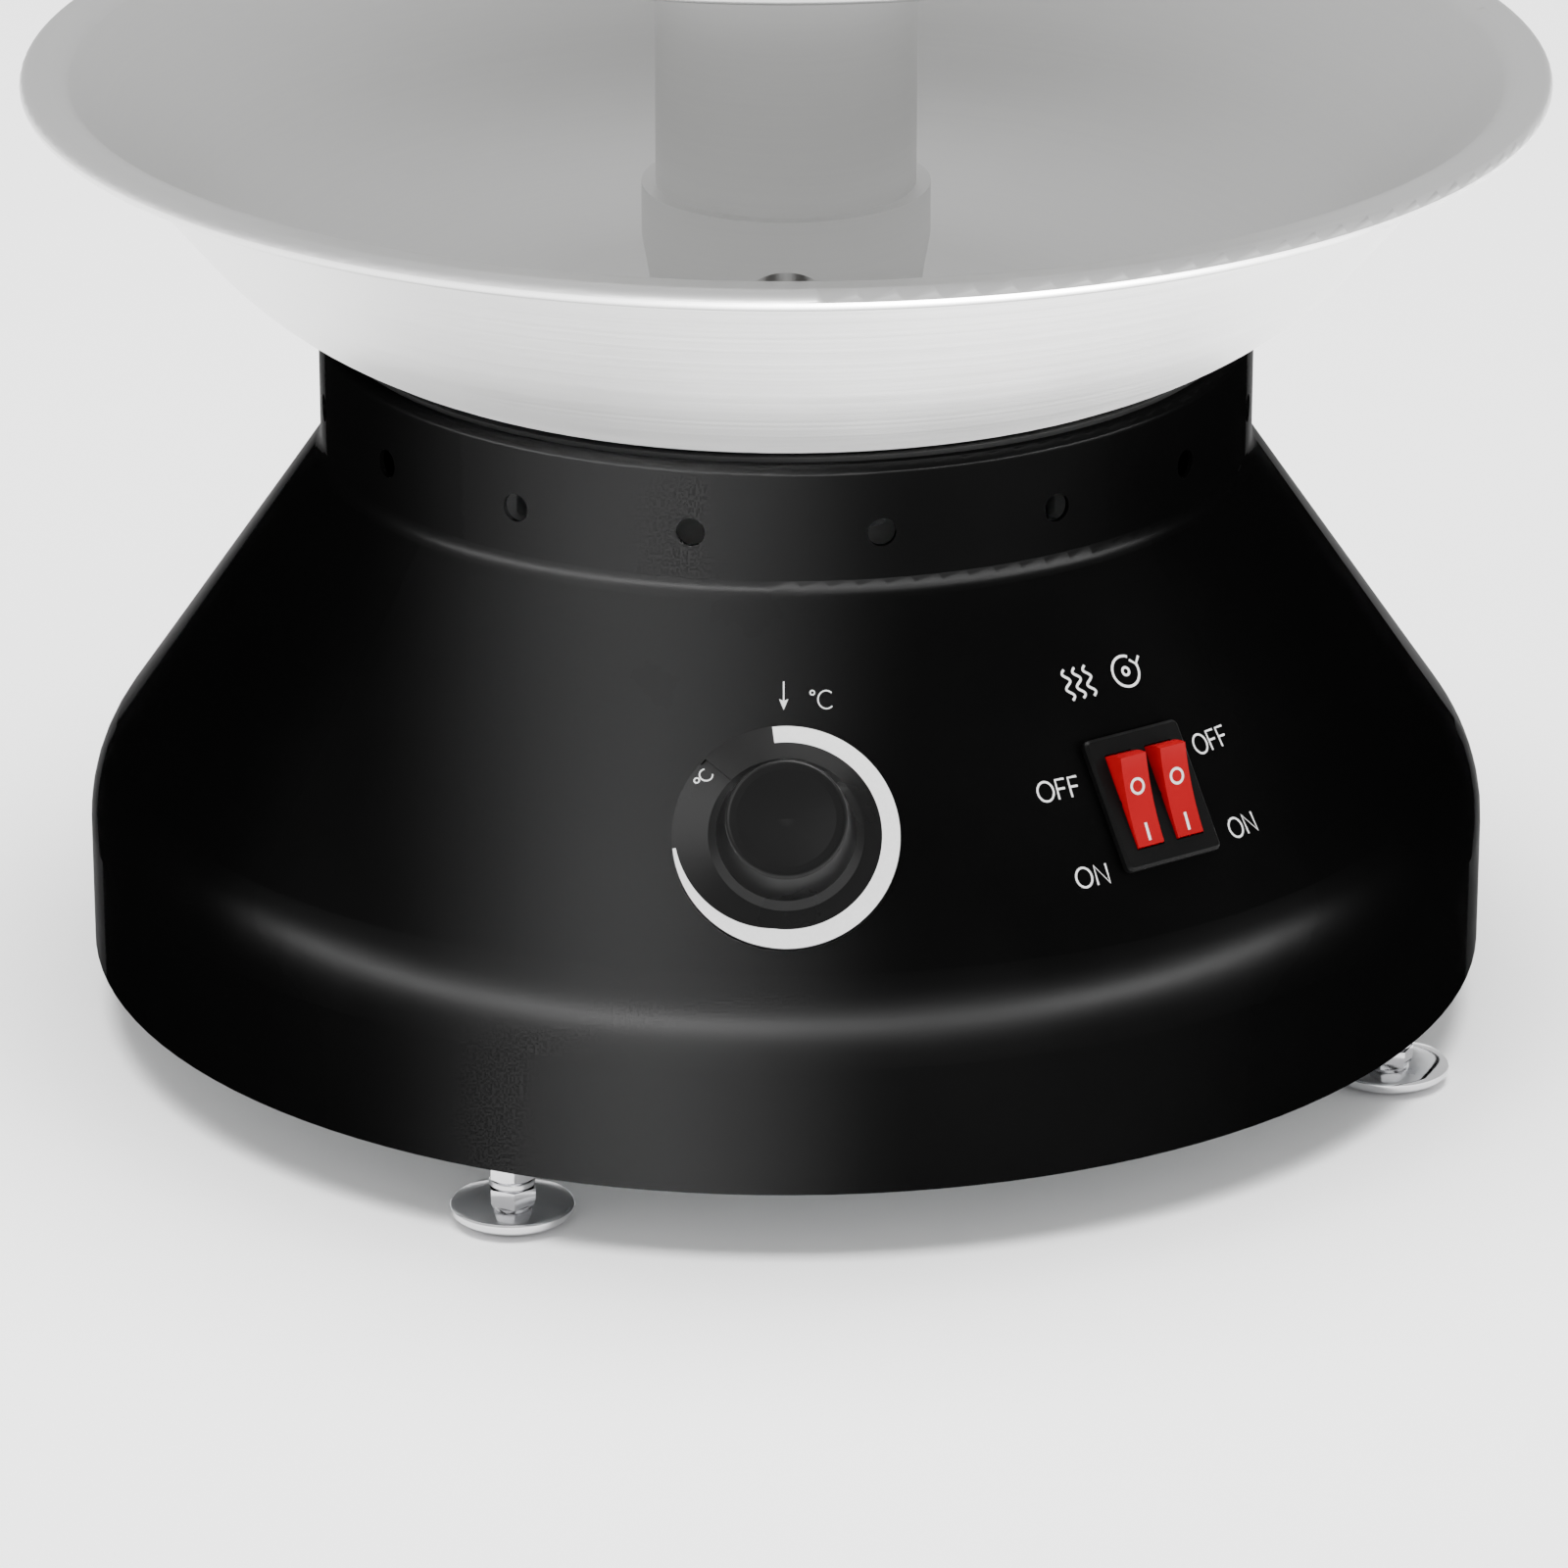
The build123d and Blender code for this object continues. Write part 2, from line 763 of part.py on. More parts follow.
def tower_windows():
    """The arched intakes at the foot of the tower, as the solids that cut them."""
    side = window_height - window_width / 2
    arch = Rectangle(window_width, side, align=(Align.CENTER, Align.MIN))
    arch += Pos(0, side) * Circle(window_width / 2)
    block = extrude(Plane.XZ * arch, foot_flange_radius)
    turns = [360.0 * index / window_count for index in range(window_count)]
    return [Rot(0, 0, turn) * Pos(0, 0, bowl_inside + window_bottom) * block for turn in turns]


def tower_tube():
    tube = ring(tube_outer - tube_wall, tube_outer, bowl_inside, tower_top)
    for window in tower_windows():
        tube -= window
    return tube


def tower_foot():
    foot_ring = ring(tube_outer + fit_gap, foot_wall_radius, bowl_inside, tower_foot_top)
    foot_ring += ring(tube_outer + fit_gap, foot_flange_radius, bowl_inside, tower_foot_base)
    for window in tower_windows():
        foot_ring -= window
    for place in tower_pin_places():
        foot_ring -= place * rod(pin_radius + loose_gap, bowl_inside, tower_foot_base)
    return foot_ring


def tower_pin_places():
    return spread(pin_count, pin_circle, 0, 180.0 / pin_count)


def tower_pins():
    pin = rod(pin_radius, bowl_inside, bowl_inside + pin_height)
    pin = fillet(pin.edges().group_by(Axis.Z)[-1], pin_radius / 2)
    return [place * pin for place in tower_pin_places()]


def tier_sleeve(bottom, top):
    return ring(sleeve_inner, sleeve_outer, bottom, top)


def tier_dish(radius, top):
    """A dish that slopes down from its sleeve and turns down at the edge."""
    inner = sleeve_outer + fit_gap + tier_wall * sin(radians(tier_slope))
    drop = (radius - inner) * tan(radians(tier_slope))
    edge = top - drop - tier_edge_drop
    line = [(inner, top), (radius, top - drop), (radius, edge)]
    dish = spun_sheet(line, [tier_edge_bend], tier_wall, Side.RIGHT)
    return dish + bead(radius - tier_bead_radius, edge, tier_bead_radius)


def crown_cup():
    """The cup at the top, which the chocolate fills and runs over."""
    inner = sleeve_outer + fit_gap
    line = [(inner, crown_base), (crown_floor_radius, crown_base), (crown_radius, crown_top)]
    cup = spun_sheet(line, [crown_bend], crown_wall, Side.LEFT)
    return cup + bead(crown_radius, crown_top, crown_bead_radius)


# Knob and thermostat

def knob():
    step = knob_standoff + knob_skirt_edge
    outline = [
        (0, knob_standoff),
        (knob_skirt_radius, knob_standoff),
        (knob_skirt_radius, step),
        (knob_skirt_top, knob_skirt_rise),
        (knob_grip_radius, knob_skirt_rise + knob_grip_step),
        (knob_grip_top, knob_total),
        (0, knob_total),
    ]
    body = turned(outline)
    body = fillet(body.edges().group_by(Axis.Z)[-1], knob_edge_round)
    hollow = [
        (knob_boss, knob_standoff),
        (knob_skirt_radius - knob_wall, knob_standoff),
        (knob_skirt_top - knob_wall, knob_skirt_rise - knob_wall),
        (knob_grip_radius - knob_wall, knob_skirt_rise),
        (knob_grip_top - knob_wall, knob_total - 2 * knob_wall),
        (knob_boss, knob_total - 2 * knob_wall),
    ]
    body -= turned(hollow)
    dish_radius = knob_grip_top - 2 * knob_edge_round
    ball = (dish_radius ** 2 + knob_dish ** 2) / (2 * knob_dish)
    body -= Pos(0, 0, knob_total + ball - knob_dish) * Sphere(ball)
    body -= knob_index()
    bore = stem_profile(stem_radius + fit_gap, stem_flat + fit_gap)
    body -= Pos(0, 0, knob_standoff) * extrude(bore, stem_top - knob_standoff)
    return knob_plane * body


def knob_index():
    """The groove that marks the knob's skirt, as the solid that cuts it."""
    run = knob_skirt_radius - knob_skirt_top
    fall = knob_skirt_rise - knob_standoff - knob_skirt_edge
    middle = Pos(0, knob_skirt_top + run / 2, knob_skirt_rise - fall / 2)
    slope = Rot(-degrees(atan2(fall, run)), 0, 0)
    return Rot(0, 0, knob_index_turn) * middle * slope * Box(knob_index_width, run, 2 * knob_index_depth)


def stem_profile(radius, flat):
    """A round with one flat, on the side away from the slope's top."""
    cut = Pos(0, -flat) * Rectangle(2 * radius, 2 * radius, align=(Align.CENTER, Align.MAX))
    return Circle(radius) - cut


def thermostat_stem():
    low = -thermostat_face - thermostat_bore_depth
    piece = rod(stem_radius, low, knob_standoff)
    tip = extrude(stem_profile(stem_radius, stem_flat), stem_top - knob_standoff)
    return knob_plane * (piece + Pos(0, 0, knob_standoff) * tip)


def thermostat_body():
    low = -thermostat_face - thermostat_depth
    piece = rod(thermostat_radius, low, -thermostat_face)
    piece = fillet(piece.edges().group_by(Axis.Z)[0], thermostat_edge)
    piece += rod(thermostat_neck_radius, -thermostat_face, 0)
    piece -= rod(stem_radius + running_gap, -thermostat_face - thermostat_bore_depth, 0)
    for side in (-1, 1):
        hole = rod(thermostat_screw_radius + fit_gap, -thermostat_screw_length, -thermostat_face)
        piece -= Pos(side * thermostat_screw_offset, 0, 0) * hole
    piece -= Pos(capillary_offset, 0, 0) * rod(capillary_radius + fit_gap, low, low + capillary_seat)
    return knob_plane * piece


def thermostat_screws():
    length = thermostat_screw_length - 2 * fit_gap
    screw = Rot(180, 0, 0) * pan_screw(
        thermostat_screw_radius, thermostat_screw_head, thermostat_screw_head_height, length)
    return [knob_plane * Pos(side * thermostat_screw_offset, 0, 0) * screw for side in (-1, 1)]


def capillary_tube():
    """The thin tube from the thermostat up to its bulb under the heater."""
    depth = thermostat_face + thermostat_depth
    start = (knob_plane * Pos(capillary_offset, 0, -depth)).position
    second = (knob_plane * Pos(capillary_offset, 0, -depth - capillary_lead)).position
    climb = [around(azimuth, motor_plate_radius + out, motor_plate_bottom + up).position
             for azimuth, out, up in capillary_route]
    end = Vector(bulb_length / 2, -bulb_offset, bulb_height)
    beside = end + Vector(capillary_tail, 0, 0)
    path = FilletPolyline(start, second, *climb, beside, end, radius=capillary_bend)
    section = Plane(origin=start, z_dir=path % 0) * Circle(capillary_radius)
    return sweep(section, path=path)


def thermostat_bulb():
    bar = Plane(origin=(0, -bulb_offset, bulb_height), x_dir=(0, 1, 0), z_dir=(1, 0, 0))
    return bar * rod(bulb_radius, -bulb_length / 2, bulb_length / 2)


def bulb_clips():
    """Saddle clips that hold the bulb up against the heater's clamp plate."""
    inner = bulb_radius + fit_gap
    outer = inner + clip_wall
    top = clamp_bottom - bulb_height
    arch = Circle(outer) + Rectangle(2 * outer, top, align=(Align.CENTER, Align.MIN))
    feet = Pos(0, top) * Rectangle(2 * (outer + clip_foot), clip_wall, align=(Align.CENTER, Align.MAX))
    hollow = Circle(inner) + Rectangle(2 * inner, top, align=(Align.CENTER, Align.MIN))
    below = Pos(0, top) * Rectangle(4 * outer, 4 * outer, align=(Align.CENTER, Align.MAX))
    bar = Plane(origin=(0, -bulb_offset, bulb_height), x_dir=(0, 1, 0), z_dir=(1, 0, 0))
    clip = extrude((arch + feet - hollow) & below, clip_width / 2, both=True)
    return [bar * Pos(0, 0, side * clip_spacing / 2) * clip for side in (-1, 1)]


# Switch

def slot_offsets():
    return (-slot_spacing / 2, slot_spacing / 2)


def switch_housing():
    rim = extrude(RectangleRounded(bezel_width, bezel_length, bezel_corner), bezel_rise)
    rim = chamfer(rim.edges().group_by(Axis.Z)[-1], bezel_edge)
    body = Pos(0, 0, -switch_body_depth) * extrude(
        Rectangle(switch_body_width, switch_body_length), switch_body_depth)
    piece = rim + body
    slot = extrude(Rectangle(slot_width, slot_length), slot_depth + bezel_rise)
    for offset in slot_offsets():
        piece -= Pos(offset, 0, -slot_depth) * slot
        piece -= Pos(offset, 0, rocker_pivot) * pin_bar(rocker_pin_radius + fit_gap)
    return switch_plane * piece


def pin_bar(radius):
    """A bar across one slot, seated in the wall on each side."""
    half = slot_width / 2 + rocker_pin_seat
    return Plane.YZ * extrude(Circle(radius), half, both=True)


def rocker_pins():
    pin = Pos(0, 0, rocker_pivot) * pin_bar(rocker_pin_radius)
    return [switch_plane * Pos(offset, 0, 0) * pin for offset in slot_offsets()]


def rocker(offset):
    """One rocker, drawn level about its pivot and then tilted to its ON position."""
    reach = slot_length / 2 - loose_gap
    tip = sqrt(reach ** 2 - rocker_face ** 2)
    side = sqrt(reach ** 2 - rocker_skirt ** 2)
    keel = [
        (side, -rocker_skirt),
        (rocker_keel_width / 2, -rocker_keel),
        (-rocker_keel_width / 2, -rocker_keel),
        (-side, -rocker_skirt),
    ]
    outline = [
        ThreePointArc((-tip, rocker_face), (0, rocker_face - rocker_dip), (tip, rocker_face)),
        ThreePointArc((tip, rocker_face), (reach, 0), keel[0]),
        Polyline(*keel),
        ThreePointArc(keel[-1], (-reach, 0), (-tip, rocker_face)),
    ]
    half = slot_width / 2 - rocker_side_gap
    level = Plane.YZ * (make_face(outline) - Circle(rocker_pin_radius + running_gap))
    blade = extrude(level, half, both=True)
    return switch_plane * Pos(offset, 0, rocker_pivot) * Rot(rocker_tilt, 0, 0) * blade


def switch_terminals():
    tab = Pos(0, 0, -switch_body_depth - terminal_length) * extrude(
        Rectangle(terminal_width, terminal_wall), terminal_length)
    rows = (-terminal_pitch, 0, terminal_pitch)
    return [switch_plane * Pos(offset, row, 0) * tab for offset in slot_offsets() for row in rows]


# Cord gland and terminal block

def cable_gland():
    piece = rod(gland_flange_radius, 0, gland_flange_wall)
    piece += hex_bar(gland_hex, gland_flange_wall, gland_flange_wall + gland_hex_length)
    piece += rod(gland_thread, -gland_inside, 0)
    piece -= rod(gland_bore, -gland_inside, gland_flange_wall + gland_hex_length)
    return gland_axis() * piece


def gland_nut():
    sag = skirt_inner - sqrt(skirt_inner ** 2 - (gland_nut_hex / sqrt(3)) ** 2)
    top = -housing_wall - sag
    return gland_axis() * hex_nut(gland_nut_hex, gland_thread + fit_gap, top - gland_nut_wall, top)


def block_ways():
    return (-block_way_pitch, 0, block_way_pitch)


def terminal_block():
    place = Pos(0, block_place, plate_top)
    piece = extrude(Rectangle(block_length, block_width), block_height)
    piece = chamfer(piece.edges().group_by(Axis.Z)[-1], block_edge)
    wire_way = Plane.XZ * extrude(Circle(block_bore), block_width / 2, both=True)
    screw_well = rod(block_screw_radius + fit_gap, block_height - block_screw_depth, block_height)
    for way in block_ways():
        piece -= Pos(way, 0, block_height / 2) * wire_way
        piece -= Pos(way, 0, 0) * screw_well
    return place * piece


def terminal_screws():
    screw = rod(block_screw_radius, -block_screw_depth, -block_screw_recess)
    place = Pos(0, block_place, plate_top + block_height)
    return [place * Pos(way, 0, 0) * screw for way in block_ways()]


# Every piece, by the name of its file

def all_pieces():
    shell = housing()
    pieces = {
        "housing": shell,
        "mounting_ring": mounting_ring(),
        "base_plate": base_plate(),
        "base_plate_screws": base_plate_screws(),
        "foot_lock_nuts": foot_lock_nuts(),
        "foot_inserts": foot_inserts(),
        "bowl": bowl(),
        "bowl_gasket": bowl_gasket(shell),
        "heating_element": heating_element(),
        "heater_clamp_plate": heater_clamp_plate(),
        "bowl_studs": bowl_studs(),
        "motor_spacers": motor_spacers(),
        "stud_nuts": stud_nuts(),
        "tie_rods": tie_rods(),
        "tie_rod_screws": tie_rod_screws(),
        "motor_plate": motor_plate(),
        "motor_screws": motor_screws(),
        "gearbox": gearbox(),
        "motor": motor(),
        "gearbox_shaft": gearbox_shaft(),
        "shaft_coupling": shaft_coupling(),
        "coupling_screws": coupling_screws(),
        "drive_shaft": drive_shaft(),
        "drive_bush": drive_bush(),
        "bush_nut": bush_nut(),
        "shaft_seal": shaft_seal(),
        "auger_core": auger_core(),
        "auger_flight": auger_flight(),
        "tower_tube": tower_tube(),
        "tower_foot": tower_foot(),
        "tower_pins": tower_pins(),
        "crown_sleeve": tier_sleeve(sleeve_joints[-1], crown_base + crown_wall),
        "crown_cup": crown_cup(),
        "knob": knob(),
        "thermostat_stem": thermostat_stem(),
        "thermostat_body": thermostat_body(),
        "thermostat_screws": thermostat_screws(),
        "capillary_tube": capillary_tube(),
        "thermostat_bulb": thermostat_bulb(),
        "bulb_clips": bulb_clips(),
        "switch_housing": switch_housing(),
        "switch_terminals": switch_terminals(),
        "rocker_pins": rocker_pins(),
        "rocker_motor": rocker(slot_offsets()[1]),
        "rocker_heat": rocker(slot_offsets()[0]),
        "cable_gland": cable_gland(),
        "gland_nut": gland_nut(),
        "terminal_block": terminal_block(),
        "terminal_screws": terminal_screws(),
    }
    for index, place in enumerate(foot_places()):
        pieces[f"foot_{index + 1}"] = place * foot()
    for index, radius in enumerate(tier_radii):
        top = sleeve_joints[index + 1]
        pieces[f"tier_{index + 1}_sleeve"] = tier_sleeve(sleeve_joints[index], top)
        pieces[f"tier_{index + 1}_dish"] = tier_dish(radius, top)
    return pieces


for name, shape in all_pieces().items():
    if isinstance(shape, list):
        shape = Compound(children=[solid for part in shape for solid in part.solids()])
    export_step(shape, f"parts/{name}.step")
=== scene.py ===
import json
from math import atan2, cos, degrees, pi, radians, sin, sqrt, tan

import bpy
from mathutils import Matrix, Vector


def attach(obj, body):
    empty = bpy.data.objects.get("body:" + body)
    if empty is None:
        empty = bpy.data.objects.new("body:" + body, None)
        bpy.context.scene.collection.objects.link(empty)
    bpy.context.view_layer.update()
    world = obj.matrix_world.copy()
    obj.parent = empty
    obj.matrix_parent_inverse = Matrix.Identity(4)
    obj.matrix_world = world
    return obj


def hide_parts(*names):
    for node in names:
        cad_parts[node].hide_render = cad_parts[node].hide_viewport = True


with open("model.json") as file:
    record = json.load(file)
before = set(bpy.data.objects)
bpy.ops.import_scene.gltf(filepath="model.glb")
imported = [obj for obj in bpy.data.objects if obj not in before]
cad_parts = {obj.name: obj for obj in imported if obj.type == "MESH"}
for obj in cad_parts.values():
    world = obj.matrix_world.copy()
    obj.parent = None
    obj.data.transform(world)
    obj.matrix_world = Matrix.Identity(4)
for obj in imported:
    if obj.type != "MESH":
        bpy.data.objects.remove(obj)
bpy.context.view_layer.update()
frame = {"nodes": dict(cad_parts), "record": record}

MM = 0.001


# Sizes that the marks share with the solids, in millimetres

skirt_radius = 165.0
neck_radius = 108.9
cone_height = 80.7
neck_corner = 138.2
cone_lean = degrees(atan2(skirt_radius - neck_radius, cone_height))
knob_height = 91.4
knob_skirt_radius = 25.25
knob_skirt_low = 4.5
knob_skirt_high = 7.2
knob_skirt_top = 17.2
switch_azimuth = 35.0
switch_height = 91.8
rocker_pivot = 1.2
rocker_offset = 5.5
rocker_tilt = 14.0
rocker_reach = 10.95
rocker_face = 4.1
rocker_dip = 0.9
ink_lift = 0.03         # the middle of a stroke above its surface
ink_flat = 0.12         # how far a stroke is pressed flat
word_height = 4.5
word_stroke = 0.5
sign_stroke = 0.6
sign_height = 115.5
fine_stroke = 0.32


def cone_radius(height):
    return neck_radius + (neck_corner - height) * tan(radians(cone_lean))


def cone_matrix(azimuth, height):
    """A frame on the cone, in millimetres: x to the right, y up the slope and z straight out."""
    angle = radians(azimuth)
    lean = radians(cone_lean)
    radius = cone_radius(height)
    x = Vector((cos(angle), sin(angle), 0))
    z = Vector((sin(angle) * cos(lean), -cos(angle) * cos(lean), sin(lean)))
    y = z.cross(x)
    rotation = Matrix((x, y, z)).transposed().to_4x4()
    return Matrix.Translation((radius * sin(angle), -radius * cos(angle), height)) @ rotation


def on_cone(azimuth, height):
    """Returns a function that lays a flat (x, y, z) drawing on the cone round one place."""
    base_radius = cone_radius(height)

    def place(point):
        level = height + point.y * cos(radians(cone_lean))
        around = azimuth + degrees(point.x / base_radius)
        return cone_matrix(around, level) @ Vector((0, 0, ink_lift + point.z * ink_flat))

    return place


def on_knob(point):
    """Lays a flat drawing on the knob's sloping skirt."""
    radius = sqrt(point.x ** 2 + point.y ** 2)
    share = (knob_skirt_radius - radius) / (knob_skirt_radius - knob_skirt_top)
    rise = knob_skirt_low + share * (knob_skirt_high - knob_skirt_low)
    local = Vector((point.x, point.y, rise + ink_lift + point.z * ink_flat))
    return cone_matrix(0, knob_height) @ local


def on_rocker(offset):
    """Returns a function that lays a flat drawing on a rocker's hollow face."""
    tip = sqrt(rocker_reach ** 2 - rocker_face ** 2)
    seat = cone_matrix(switch_azimuth, switch_height) @ Matrix.Translation((offset, 0, rocker_pivot))
    tilted = seat @ Matrix.Rotation(radians(rocker_tilt), 4, "X")

    def place(point):
        rise = rocker_face - rocker_dip * (1 - (point.y / tip) ** 2)
        return tilted @ Vector((point.x, point.y, rise + ink_lift + point.z * ink_flat))

    return place


# Materials

def nodes_of(name):
    """A new material with its node tree, shader and output."""
    made = bpy.data.materials.new(name)
    made.use_nodes = True
    tree = made.node_tree
    return made, tree, tree.nodes["Principled BSDF"]


def add(tree, kind, **inputs):
    """Adds a node and sets or links its inputs by name."""
    node = tree.nodes.new(kind)
    for key, value in inputs.items():
        socket = node.inputs[key]
        if isinstance(value, bpy.types.NodeSocket):
            tree.links.new(value, socket)
        else:
            socket.default_value = value
    return node


def combine(tree, operation, first, second=0.0):
    """Joins two values with one step of arithmetic."""
    node = tree.nodes.new("ShaderNodeMath")
    node.operation = operation
    for socket, value in zip(node.inputs, (first, second)):
        if isinstance(value, bpy.types.NodeSocket):
            tree.links.new(value, socket)
        else:
            socket.default_value = value
    return node.outputs[0]


def object_place(tree):
    return tree.nodes.new("ShaderNodeTexCoord").outputs["Object"]


def noise(tree, vector, scale, detail=4.0, roughness=0.5):
    node = add(tree, "ShaderNodeTexNoise", Vector=vector, Scale=scale, Detail=detail, Roughness=roughness)
    return node.outputs["Fac"]


def ramp(tree, factor, low, high, start=0.3, end=0.7):
    """Maps a factor onto a span between two values."""
    node = add(tree, "ShaderNodeMapRange", Value=factor)
    for key, value in (("From Min", start), ("From Max", end), ("To Min", low), ("To Max", high)):
        node.inputs[key].default_value = value
    return node.outputs[0]


def tint(tree, factor, dark, light):
    node = tree.nodes.new("ShaderNodeMix")
    node.data_type = "RGBA"
    tree.links.new(factor, node.inputs[0])
    node.inputs[6].default_value = (*dark, 1)
    node.inputs[7].default_value = (*light, 1)
    return node.outputs[2]


def bump(tree, shader, height, strength, distance):
    node = add(tree, "ShaderNodeBump", Height=height, Strength=strength, Distance=distance)
    tree.links.new(node.outputs[0], shader.inputs["Normal"])


def coated_sheet(name, dark, light, rough_low, rough_high, metallic, edge):
    """Baked satin coating on spun sheet: a fine orange peel, faint clouding and dust-fine speckle."""
    made, tree, shader = nodes_of(name)
    place = object_place(tree)
    cloud = noise(tree, place, 18.0, 5.0)
    peel = noise(tree, place, 900.0, 3.0)
    speckle = noise(tree, place, 3200.0, 1.0)
    tree.links.new(tint(tree, cloud, dark, light), shader.inputs["Base Color"])
    tree.links.new(ramp(tree, cloud, rough_low, rough_high), shader.inputs["Roughness"])
    shader.inputs["Metallic"].default_value = metallic
    shader.inputs["Specular IOR Level"].default_value = 0.0
    shader.inputs["Specular Tint"].default_value = (edge, edge, edge, 1)
    grain = combine(tree, "ADD", peel, combine(tree, "MULTIPLY", speckle, 0.4))
    bump(tree, shader, grain, 0.12, 0.00006)
    return made


def turned_metal(name, dark, light, rough_low, rough_high, ring_scale, strength):
    """Metal brushed round the object's axis, with fine rings, soft clouding and a few handling marks."""
    made, tree, shader = nodes_of(name)
    place = object_place(tree)
    parts = add(tree, "ShaderNodeSeparateXYZ", Vector=place)
    x, y, z = parts.outputs
    x_squared = combine(tree, "MULTIPLY", x, x)
    y_squared = combine(tree, "MULTIPLY", y, y)
    radius = combine(tree, "SQRT", combine(tree, "ADD", x_squared, y_squared))
    angle = combine(tree, "ARCTAN2", y, x)
    rings = add(tree, "ShaderNodeCombineXYZ", X=radius, Y=z, Z=combine(tree, "MULTIPLY", angle, 0.0006))
    lines = noise(tree, rings.outputs[0], ring_scale, 6.0, 0.7)
    cloud = noise(tree, place, 9.0, 4.0)
    both = combine(tree, "ADD", combine(tree, "MULTIPLY", lines, 0.5), combine(tree, "MULTIPLY", cloud, 0.5))
    tree.links.new(tint(tree, both, dark, light), shader.inputs["Base Color"])
    tree.links.new(ramp(tree, both, rough_low, rough_high), shader.inputs["Roughness"])
    shader.inputs["Metallic"].default_value = 1.0
    bump(tree, shader, lines, strength, 0.00003)
    return made


def plain_metal(name, dark, light, rough_low, rough_high, scale=60.0, strength=0.08):
    """Cast, plated or drawn metal with clouding, fine grain and rougher smudges."""
    made, tree, shader = nodes_of(name)
    place = object_place(tree)
    cloud = noise(tree, place, scale, 5.0)
    grain = noise(tree, place, scale * 24, 2.0)
    tree.links.new(tint(tree, cloud, dark, light), shader.inputs["Base Color"])
    tree.links.new(ramp(tree, cloud, rough_low, rough_high), shader.inputs["Roughness"])
    shader.inputs["Metallic"].default_value = 1.0
    bump(tree, shader, grain, strength, 0.00004)
    return made


def moulded(name, dark, light, rough_low, rough_high, specular=0.5, coat=0.0, strength=0.08):
    """Moulded plastic or rubber with a fine skin, faint flow lines and slight colour drift."""
    made, tree, shader = nodes_of(name)
    place = object_place(tree)
    flow = noise(tree, place, 40.0, 4.0)
    skin = noise(tree, place, 2200.0, 2.0)
    tree.links.new(tint(tree, flow, dark, light), shader.inputs["Base Color"])
    tree.links.new(ramp(tree, flow, rough_low, rough_high), shader.inputs["Roughness"])
    shader.inputs["Specular IOR Level"].default_value = specular
    shader.inputs["Coat Weight"].default_value = coat
    shader.inputs["Coat Roughness"].default_value = 0.06
    bump(tree, shader, skin, strength, 0.00004)
    return made


def printed_ink(name, dark, light):
    """Screen-printed ink with a slightly uneven edge to its tone."""
    made, tree, shader = nodes_of(name)
    place = object_place(tree)
    patch = noise(tree, place, 1200.0, 3.0)
    tree.links.new(tint(tree, patch, dark, light), shader.inputs["Base Color"])
    tree.links.new(ramp(tree, patch, 0.45, 0.6), shader.inputs["Roughness"])
    bump(tree, shader, patch, 0.05, 0.00003)
    return made


materials = {
    "black_housing": coated_sheet(
        "satin_black_coating", (0.0022, 0.0022, 0.0022), (0.0028, 0.0028, 0.0028), 0.27, 0.33, 0.5, 0.05),
    "stainless": turned_metal("brushed_stainless", (0.74, 0.74, 0.74), (0.86, 0.86, 0.85), 0.4, 0.5, 900.0, 0.1),
    "chrome": plain_metal("polished_chrome", (0.6, 0.6, 0.62), (0.85, 0.85, 0.86), 0.05, 0.14),
    "zinc_steel": plain_metal("zinc_plated_steel", (0.5, 0.52, 0.55), (0.72, 0.72, 0.7), 0.25, 0.42),
    "silicone": moulded("black_silicone", (0.006, 0.006, 0.006), (0.012, 0.012, 0.012), 0.55, 0.7, 0.3),
    "heater_mica": moulded("mica_heater", (0.3, 0.22, 0.12), (0.55, 0.44, 0.28), 0.5, 0.7, 0.4, 0.0, 0.2),
    "motor_metal": plain_metal("motor_casing", (0.16, 0.165, 0.17), (0.3, 0.3, 0.31), 0.35, 0.5, 40.0, 0.2),
    "bronze": turned_metal("turned_bronze", (0.5, 0.33, 0.14), (0.68, 0.48, 0.24), 0.22, 0.35, 1600.0, 0.15),
    "copper": plain_metal("copper", (0.55, 0.28, 0.16), (0.78, 0.46, 0.3), 0.25, 0.4),
    "thermostat_case": plain_metal("pressed_aluminium", (0.55, 0.55, 0.56), (0.75, 0.75, 0.75), 0.3, 0.45),
    "black_knob": moulded("knob_plastic", (0.003, 0.003, 0.003), (0.006, 0.006, 0.006), 0.25, 0.35, 0.15),
    "switch_black": moulded("switch_plastic", (0.002, 0.002, 0.002), (0.005, 0.005, 0.005), 0.35, 0.5, 0.1),
    "switch_red": moulded("rocker_red", (0.3, 0.002, 0.005), (0.42, 0.004, 0.009), 0.16, 0.26, 0.12),
    "gland_black": moulded("gland_nylon", (0.008, 0.008, 0.008), (0.015, 0.015, 0.015), 0.4, 0.55),
    "block_white": moulded("terminal_block_nylon", (0.6, 0.58, 0.52), (0.78, 0.76, 0.7), 0.4, 0.55),
    "block_brass": plain_metal("brass", (0.6, 0.42, 0.16), (0.8, 0.62, 0.3), 0.2, 0.35),
}
white_ink = printed_ink("white_ink", (0.78, 0.78, 0.78), (0.92, 0.92, 0.92))
rocker_ink = printed_ink("rocker_ink", (0.75, 0.72, 0.72), (0.9, 0.88, 0.88))

for entry in frame["record"]["subparts"]:
    node = frame["nodes"][entry["node"]]
    finish = materials["switch_black" if entry["node"] == "rocker_pins" else entry["material_slot"]]
    if not node.data.materials:
        node.data.materials.append(finish)
    for slot in node.material_slots:
        slot.material = finish


# Printed marks: each is drawn flat as strokes in millimetres, then laid on its surface

stroke_sides = 3
arc_steps = 28
wave_steps = 24
printed = []


